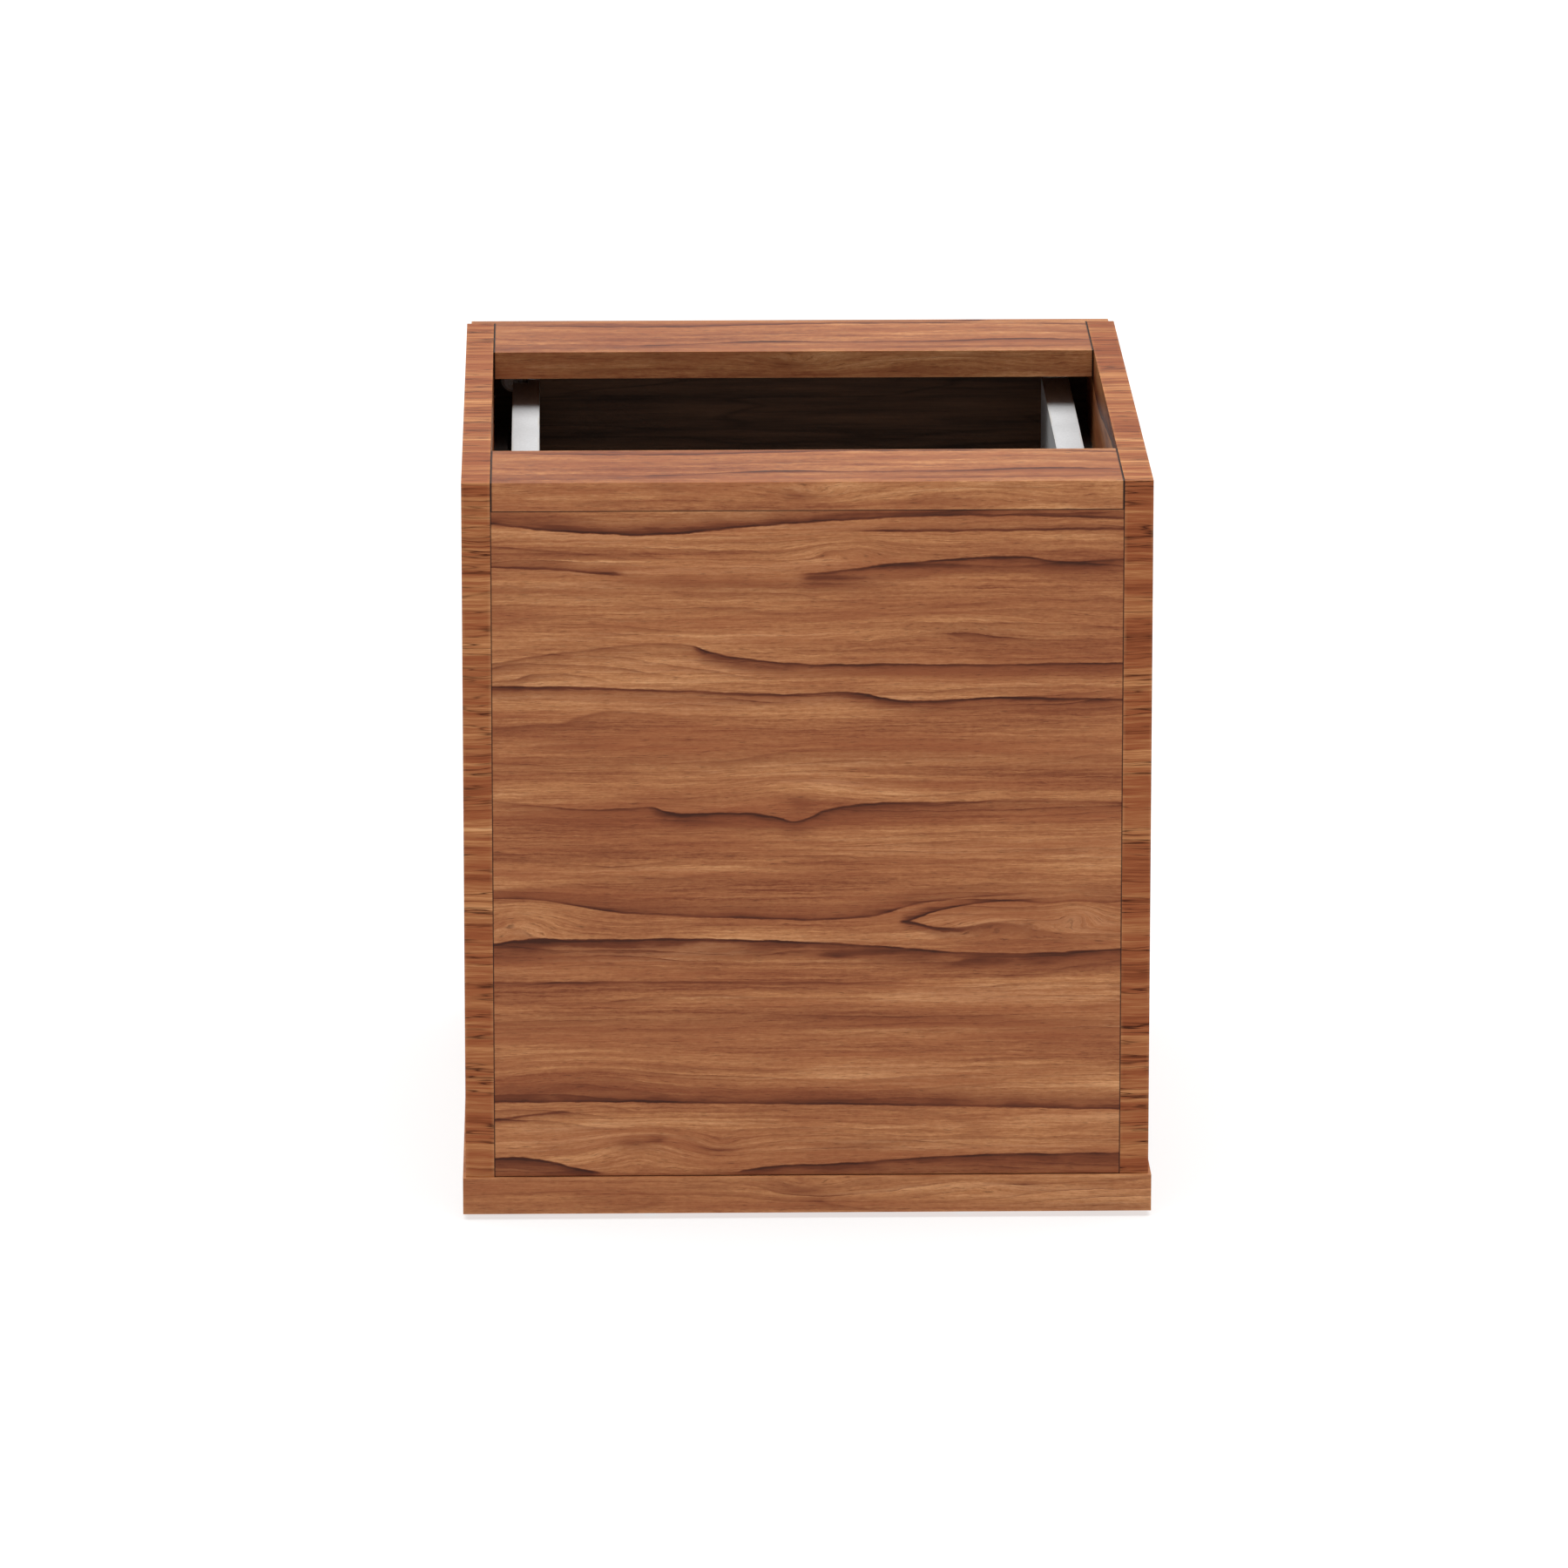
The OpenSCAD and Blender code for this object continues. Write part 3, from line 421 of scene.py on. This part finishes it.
BACK_VEINS = [
    Vein([(0, 8), (90, 16), (170, 11), (240, 6), (340, 4), (419, 7)],
         [(0, .9), (150, .95), (240, .9), (300, .85), (419, .85)], side=-1, reach=15),
    Vein([(0, 24), (60, 29), (100, 32), (419, 34)], [(0, .45), (60, .4), (95, 0), (419, 0)], reach=6),
    Vein([(0, 38), (60, 41), (90, 44), (419, 46)], [(0, .6), (75, .6), (95, 0), (419, 0)], side=-1, reach=8),
    Vein([(0, 17), (250, 15), (419, 14)], [(0, 0), (225, 0), (262, .8), (380, .75), (419, .8)],
         side=-1, reach=5),
    Vein([(0, 50), (210, 43), (280, 36), (350, 33), (375, 36), (419, 34)],
         [(0, 0), (195, 0), (215, .85), (300, .95), (419, .85)], reach=15),
    Vein([(0, 50), (150, 46), (419, 44)], [(0, .3), (120, .45), (240, .35), (300, 0), (419, 0)],
         reach=18, line=0.3),
    Vein([(0, 104), (60, 95), (134, 92), (142, 95), (170, 101), (280, 105), (419, 105)],
         [(0, .4), (60, .4), (130, .45), (142, 1), (200, .95), (419, .75)], reach=11),
    Vein([(0, 119), (100, 121), (190, 125), (250, 126), (258, 128.5), (340, 128), (419, 129)],
         [(0, .85), (100, .7), (230, .75), (255, 1), (340, .85), (419, .8)], reach=10),
    Vein([(0, 168), (200, 164), (419, 166)], [(0, .2), (200, .3), (419, .25)], reach=18, line=0.25),
    Vein([(0, 197), (40, 202), (70, 203.5), (95, 202.5), (106, 202), (115, 205), (160, 206), (185, 208),
          (202, 212), (222, 205), (310, 199), (419, 200)],
         [(0, .2), (40, .5), (100, .6), (112, 1), (200, 1), (250, .9), (310, .6), (350, .35), (419, .65)],
         reach=12),
    Vein([(0, 266), (25, 267), (80, 273), (160, 277), (250, 277), (290, 268), (419, 264)],
         [(0, .4), (30, .75), (160, .9), (250, .8), (290, .6), (340, .3), (419, .2)], side=-1, reach=12),
    Vein([(0, 282), (274, 282), (300, 275), (340, 269), (380, 272), (419, 268)],
         [(0, 0), (268, 0), (279, 1), (320, .6), (419, .4)], side=-1, reach=8),
    Vein([(0, 282), (274, 282), (300, 289), (350, 293), (419, 291)],
         [(0, 0), (268, 0), (279, 1), (320, .4), (419, .25)], reach=6),
    Vein([(0, 296), (110, 292), (200, 294), (250, 297), (320, 303), (419, 301)],
         [(0, 1), (200, 1), (419, 1)], reach=17),
    Vein([(0, 321), (200, 322), (419, 321)], [(0, .45), (200, .5), (262, .3), (280, 0), (419, 0)], reach=5),
    Vein([(0, 345), (200, 342), (419, 348)], [(0, .3), (200, .4), (419, .35)], reach=18, line=0.2),
    Vein([(0, 404), (200, 406), (350, 409), (419, 411)], [(0, .8), (200, .9), (419, .8)], side=-1, reach=13),
    Vein([(0, 417), (50, 411), (419, 411)], [(0, .55), (45, .45), (62, 0), (419, 0)], reach=5),
    Vein([(0, 443), (30, 444), (60, 452), (85, 462), (419, 470)], [(0, 1), (60, 1), (80, 0), (419, 0)],
         reach=15),
    Vein([(0, 470), (150, 457), (170, 452), (230, 448), (300, 444), (419, 442)],
         [(0, 0), (150, 0), (172, .85), (300, 1), (419, 1)], reach=16),
]
BACK_EYES = [(97, 436, 34, 13, 9), (205, 188, 45, 12, 5), (345, 280, 48, 10, 11), (18, 277, 34, 12, 11),
             (152, 434, 20, 8, -5), (235, 25, 34, 8, 7), (390, 275, 16, 8, 8),
             (300, 75, 70, 12, 6), (60, 385, 60, 14, 6)]
BACK_KNOTS = [(95, 441, 15, 5, .4), (108, 436, 6, 4, .45), (150, 435, 14, 2.5, .4), (245, 435, 30, 3, .3),
              (205, 202, 8, 4, .4), (228, 304, 12, 1.6, .45), (55, 160, 25, 3, .2), (330, 88, 40, 4, .25)]
BACK_GLOWS = [(350, 76, 60, 10, .2), (340, 93, 60, 5, .12), (90, 114, 110, 5, .22), (350, 117, 100, 4.5, .22),
              (50, 22, 60, 5, .15), (60, 34, 60, 3, .12), (220, 28, 40, 8, .15), (150, 50, 150, 7, -.12),
              (70, 67, 100, 9, .1), (200, 145, 250, 9, -.1), (225, 190, 22, 6, .15), (27, 285, 26, 8, .25),
              (170, 291, 100, 5, .2), (315, 285, 30, 8, .28), (395, 285, 22, 9, .18), (310, 331, 130, 5, .14),
              (60, 355, 80, 10, -.1), (350, 358, 70, 8, -.12), (220, 386, 160, 9, .1), (60, 424, 60, 8, .18),
              (95, 446, 40, 8, .14), (230, 421, 120, 7, .2), (330, 438, 80, 4, .15)]

LEFT_SIDE_VEINS = [
    Vein([(0, 4), (102, 7), (180, 12), (250, 18), (371, 27), (441, 24), (532, 22)],
         [(0, .8), (180, 1), (532, 1)], side=-1, reach=20),
]

# The rails' tops lie at 0 to 36 across the figure and their rear faces at -19 to 0
RAIL_VEINS = [
    Vein([(0, 9), (60, 8), (108, 8.5), (150, 10.5), (196, 14), (230, 12), (309, 12), (360, 14), (419, 13)],
         [(0, .45), (60, .4), (100, .7), (110, 1), (130, .6), (196, 1), (240, .6), (300, .7), (350, .9),
          (419, .6)], side=-1, reach=5, line=0.9),
    Vein([(0, 3), (108, 5), (250, 4), (419, 6)], [(0, .5), (80, .3), (200, .2), (300, .45), (419, .35)],
         reach=3),
    Vein([(0, 33), (120, 31), (250, 34), (419, 32)], [(0, .35), (80, .7), (300, .6), (360, .3), (419, .5)],
         reach=4),
    Vein([(0, 22), (150, 20), (300, 25), (419, 22)], [(0, .2), (150, .4), (300, .25), (419, .5)],
         reach=5, line=0.6),
]
RAIL_EYES = [(215, -9, 32, 6, 6), (320, -8, 40, 6, -4), (200, 13, 40, 4, 1.5)]
RAIL_KNOTS = [(205, -5, 14, 3, .35), (120, -4, 16, 3, .25), (345, -5, 14, 3, .2), (80, -14, 22, 2.5, .2),
              (290, -15, 26, 2.5, .2)]

SLAB_EYES = [(235, -8, 34, 7, 6), (345, -6, 40, 6, -4)]
SLAB_KNOTS = [(225, -5, 14, 3, .4), (160, -6, 16, 3, .2), (375, -8, 14, 3, .18), (90, -14, 20, 2.5, .15)]

# The size over which each print is drawn, in millimetres
RAIL_FIGURE_WIDTH = 36.0
SIDE_FIGURE = (532.0, 475.0)
SLAB_FIGURE = (461.0, 532.0)

# How much shorter the print runs from front to rear, on tops and on the side panels' edges
TOP_STRETCH = 0.35
EDGE_STRETCH = 0.8

# A normal's share along an axis above which a face counts as facing that way
FACING = 0.7


def facing(t, component):
    """1 where a face looks either way along the axis that this component of its normal belongs to."""
    return t.math("GREATER_THAN", t.math("ABSOLUTE", component), FACING)


def from_rear(t, place, high):
    """Distance across a figure that runs over a board's top from its rear edge, and on down its rear face."""
    return t.sub(t.mul(t.sub(high[1] / MM, place[1]), TOP_STRETCH), t.sub(high[2] / MM, place[2]))


def wood_back(node):
    """The back panel, with dark lines of painted shade at the joints round it."""
    t = Tree("wood_" + node)
    low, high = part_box(node)
    place, _ = t.place_and_normal()
    along, across = t.sub(high[0] / MM, place[0]), t.sub(high[2] / MM, place[2])
    size = [(b - a) / MM for a, b in zip(low, high)]
    figure = wood_figure(t, along, across, size[0], size[2], BACK_KEY, BACK_VEINS, BACK_EYES, BACK_KNOTS,
                         BACK_GLOWS, contours=0.2, growth=0.5)
    return finish_board(t, node, *figure, place, seam_shades=((0, 1.0, 0.85), (2, 0.9, 0.8)), wear_and_highlight=0.0)


def wood_rail(node):
    """A top rail, with a dark line of painted shade at each end, where it meets a side panel."""
    t = Tree("wood_" + node)
    low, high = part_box(node)
    place, _ = t.place_and_normal()
    along, across = t.sub(high[0] / MM, place[0]), from_rear(t, place, high)
    figure = wood_figure(t, along, across, (high[0] - low[0]) / MM, RAIL_FIGURE_WIDTH, RAIL_KEY, RAIL_VEINS,
                         RAIL_EYES, RAIL_KNOTS, contours=0.1, tone=0.04, grain=0.5, growth=0.3, calm=1.05)
    return finish_board(t, node, *figure, place, seam_shades=((0, 1.7, 1.0),), wear_and_highlight=0.15)


def edge_figure(t, across, down, key):
    """The print on a narrow edge: fine bars straight across it, with a few dark ones."""
    wobble = t.drawn_out(across, down, 0.05, 0.12, key, detail=3.0)
    swirl = t.drawn_out(across, down, 0.03, 0.012, key, key, detail=1.0)
    bent = t.muladd(wobble, 1.0, t.muladd(swirl, 3.0, down))
    bars = t.noise(t.vector(t.mul(across, 0.006), t.mul(bent, 0.24), key), detail=5.0, roughness=0.85)
    zone = t.noise(t.vector(key, t.mul(bent, 0.04)), detail=2.0)
    ground = t.ramp(t.muladd(bars, 2.1, t.muladd(zone, 1.1, 0.44)),
                    [(0.0, WOOD_BAND), (0.34, WOOD_RED), (0.52, WOOD_MID), (0.7, WOOD_TAN),
                     (1.0, WOOD_LIGHT)])
    lines = t.drawn_out(across, bent, 0.008, 0.13, key, key + 2, detail=3.0, roughness=0.6)
    thin = t.remap(t.math("ABSOLUTE", lines), 0.0, 0.028, 1.0, 0.0)
    shown = t.remap(t.drawn_out(across, bent, 0.02, 0.06, key, 4.0), -0.16, 0.06)
    depth = t.mul(thin, shown)
    return t.mix(depth, ground, WOOD_LINE), depth, bars


def wood_side(node, veins=()):
    """Level grain on a side panel's faces, and the print across its narrow edges."""
    t = Tree("wood_" + node)
    low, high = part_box(node)
    place, normal = t.place_and_normal()
    face = facing(t, normal[0])
    down = t.sub(high[2] / MM, place[2])
    back = t.sub(high[1] / MM, place[1])
    key = SIDE_KEYS[node]
    flat = wood_figure(t, back, down, *SIDE_FIGURE, key, veins, tone=0.1)
    edge = edge_figure(t, place[0], t.sub(down, t.mul(back, EDGE_STRETCH)), key)
    colour = t.mix(face, edge[0], flat[0])
    depth = t.choose(face, edge[1], flat[1])
    relief = t.choose(face, edge[2], flat[2])
    return finish_board(t, node, colour, depth, relief, place, wear_and_highlight=0.25, gloss=0.08)


def wood_slab(node):
    """The base, whose print also runs along its two end faces."""
    t = Tree("wood_" + node)
    low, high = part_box(node)
    place, normal = t.place_and_normal()
    end = facing(t, normal[0])
    along = t.choose(end, t.sub(high[0] / MM, place[0]), place[1])
    across = t.choose(end, from_rear(t, place, high), t.sub(place[2], high[2] / MM))
    figure = wood_figure(t, along, across, *SLAB_FIGURE, SLAB_KEY, eyes=SLAB_EYES, knots=SLAB_KNOTS,
                         contours=0.5, tone=0.1, calm=0.8)
    return finish_board(t, node, *figure, place)


def wood_front(node):
    """A drawer front: the print on its face and edges, and painted shade on its rear, dark and streaked."""
    t = Tree("wood_" + node)
    low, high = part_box(node)
    place, normal = t.place_and_normal()
    along = t.sub(place[0], low[0] / MM)
    level = facing(t, normal[2])
    across = t.sub(t.sub(high[2] / MM, place[2]), t.mul(level, t.sub(place[1], low[1] / MM)))
    length, width = (high[0] - low[0]) / MM, (high[2] - low[2]) / MM
    key = FRONT_KEYS[node]
    colour, depth, relief = wood_figure(t, along, across, length, width, key, contours=0.9)
    # The rear face gets painted shade in place of the print: dark streaks with a few darker lines in them
    rear = t.math("GREATER_THAN", normal[1], FACING)
    streak = t.noise(t.vector(t.mul(place[0], 0.006), t.mul(place[2], 0.12), key), detail=4.0, roughness=0.65)
    rear_shade = t.mix(t.remap(streak, -0.2, 0.2), REAR_SHADE_DARK, REAR_SHADE_LIGHT)
    line = t.noise(t.vector(t.mul(place[0], 0.004), t.mul(place[2], 0.045), key + 1), detail=2.0)
    rear_shade = t.mix(t.remap(t.math("ABSOLUTE", line), 0.0, 0.025, 0.4, 0.0), rear_shade,
                   tuple(c / 3 for c in REAR_SHADE_DARK))
    return finish_board(t, node, t.mix(rear, colour, rear_shade), depth, relief, place)


# ---- other materials ----

BOARD_SHADES = (srgb(178, 179, 180), srgb(216, 217, 218))
BOTTOM_SHADES = (srgb(112, 113, 114), srgb(140, 141, 142))
GREY_WORN = srgb(176, 170, 160)
BEECH_DARK, BEECH_LIGHT = srgb(186, 140, 98), srgb(222, 184, 142)


def grey_board(node, dark, light):
    """Grey melamine with a fine speckle and slightly rubbed edges."""
    t = Tree("grey_" + node)
    low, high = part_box(node)
    place, _ = t.place_and_normal()
    edge, _ = edge_distance(t, place, low, high)
    speckle = t.noise_in(place, 0.7, roughness=0.8)
    cloud = t.noise_in(place, 0.02)
    worn = t.mul(t.remap(edge, 0.2, 1.6, 1.0, 0.0), t.remap(cloud, -0.15, 0.2))
    level = t.muladd(speckle, 0.5, t.muladd(cloud, 0.2, 0.5))
    colour = t.mix(worn, t.ramp(level, [(0.25, dark), (0.75, light)]), GREY_WORN)
    t.shader(color=colour, roughness=t.muladd(cloud, 0.2, t.muladd(worn, 0.15, 0.5)), specular=0.3,
             bump=speckle, bump_depth=0.03 * MM)
    return t.material


def metal(name, colour, roughness, brushed, depth, spots=0.12):
    """Metal with a worked surface.

    brushed is the streaks' frequency per millimetre along X, Y and Z, depth is their relief in millimetres,
    and spots is how dull the patches are."""
    t = Tree(name)
    place, _ = t.place_and_normal()
    streak = t.noise_in(place, brushed, detail=3.0, roughness=0.7)
    cloud = t.noise_in(place, 0.05, detail=3.0, roughness=0.6)
    dull = t.mul(t.remap(cloud, 0.0, 0.25), spots)
    tone = t.mix(t.muladd(streak, 0.5, 0.5), tuple(c * 0.84 for c in colour), tuple(c * 1.1 for c in colour))
    tone = t.mix(dull, tone, tuple(c * 0.45 for c in colour))
    t.shader(color=tone, roughness=t.muladd(streak, 0.16, t.muladd(dull, 1.2, roughness)), metallic=1.0,
             bump=streak, bump_depth=depth * MM)
    return t.material


def beech():
    """Plain beech with a short grain along X, for the dowels."""
    t = Tree("beech")
    place, _ = t.place_and_normal()
    grain = t.noise_in(place, (0.05, 0.9, 0.9), detail=3.0)
    fleck = t.noise_in(place, (0.4, 2.0, 2.0), detail=1.0)
    level = t.muladd(fleck, 0.5, t.muladd(grain, 0.9, 0.5))
    colour = t.ramp(level, [(0.2, BEECH_DARK), (0.8, BEECH_LIGHT)])
    t.shader(color=colour, roughness=t.muladd(grain, 0.15, 0.55), specular=0.3, bump=grain,
             bump_depth=0.05 * MM)
    return t.material


def plastic(name, dark, light, roughness, grain=0.9, transmission=None):
    """Moulded plastic; grain is the frequency of its pebbled surface per millimetre."""
    t = Tree(name)
    place, _ = t.place_and_normal()
    pebble = t.noise_in(place, grain, roughness=0.6)
    scuff = t.noise_in(place, 0.12, detail=4.0, roughness=0.7)
    colour = t.mix(t.remap(scuff, -0.2, 0.25), dark, light)
    t.shader(color=colour, roughness=t.muladd(scuff, 0.25, roughness), specular=0.4, bump=pebble,
             bump_depth=0.03 * MM, transmission=transmission)
    return t.material


def paint(node, material):
    """Gives a CAD node its one material."""
    data = frame["nodes"][node].data
    data.materials.clear()
    data.materials.append(material)


def paint_all():
    """Paints every node: the wood boards one by one, and the rest by their material slot in the record."""
    shared = {
        "zinc_steel": metal("zinc_steel", (0.60, 0.61, 0.62), 0.34, (0.5, 0.02, 0.9), 0.02),
        "ball_steel": metal("ball_steel", (0.68, 0.68, 0.69), 0.12, (0.3, 0.3, 0.3), 0.004, 0.05),
        "screw_steel": metal("screw_steel", (0.58, 0.58, 0.56), 0.28, (0.9, 0.9, 0.9), 0.02, 0.2),
        "satin_nickel": metal("satin_nickel", (0.62, 0.59, 0.54), 0.3, (0.03, 1.6, 1.6), 0.015, 0.06),
        "lock_metal": metal("lock_metal", (0.42, 0.40, 0.38), 0.36, (0.9, 0.2, 0.9), 0.02, 0.25),
        "beech": beech(),
        "black_plastic": plastic("black_plastic", (0.012, 0.012, 0.013), (0.035, 0.035, 0.036), 0.5),
        "clear_bumper": plastic("clear_bumper", (0.75, 0.77, 0.78), (0.86, 0.87, 0.88), 0.25, grain=0.5,
                                transmission=0.55),
    }
    for part in frame["record"]["subparts"]:
        node, slot = part["node"], part["material_slot"]
        if slot == "light_grey_board":
            is_bottom = node.endswith("_drawer_bottom")
            paint(node, grey_board(node, *(BOTTOM_SHADES if is_bottom else BOARD_SHADES)))
        elif slot in shared:
            paint(node, shared[slot])
    paint("back_panel", wood_back("back_panel"))
    paint("rear_rail", wood_rail("rear_rail"))
    paint("front_rail", wood_rail("front_rail"))
    paint("side_panel_left", wood_side("side_panel_left", LEFT_SIDE_VEINS))
    paint("side_panel_right", wood_side("side_panel_right"))
    paint("base_panel", wood_slab("base_panel"))
    for front in FRONT_KEYS:
        paint(front, wood_front(front))


# ---- rounded edges ----

RAIL_ROUND = 2 * MM
PANEL_ROUND = 0.8 * MM
DRAWER_ROUND = 0.4 * MM
WELD_DISTANCE = 0.01 * MM
FLAT_ANGLE = math.radians(1)
SHARP_ANGLE = math.radians(40)


def soften(node, width, segments=2):
    """Rounds a part's sharp edges with modifiers, after joining the faces that tessellation had split."""
    modifiers = frame["nodes"][node].modifiers
    weld = modifiers.new("weld", "WELD")
    weld.merge_threshold = WELD_DISTANCE
    flat = modifiers.new("flat", "DECIMATE")
    flat.decimate_type = "DISSOLVE"
    flat.angle_limit = FLAT_ANGLE
    bevel = modifiers.new("bevel", "BEVEL")
    bevel.width = width
    bevel.segments = segments
    bevel.limit_method = "ANGLE"
    bevel.angle_limit = SHARP_ANGLE
    bevel.loop_slide = False
    bevel.harden_normals = True


make_camera()
make_floor()
make_lights()
paint_all()
for rail in ("front_rail", "rear_rail"):
    soften(rail, RAIL_ROUND, segments=3)
for panel in ("side_panel_left", "side_panel_right", "back_panel", "base_panel", "upper_drawer_front",
              "lower_drawer_front"):
    soften(panel, PANEL_ROUND)
for drawer in ("upper", "lower"):
    for board in ("side_left", "side_right", "back"):
        soften(drawer + "_drawer_" + board, DRAWER_ROUND)
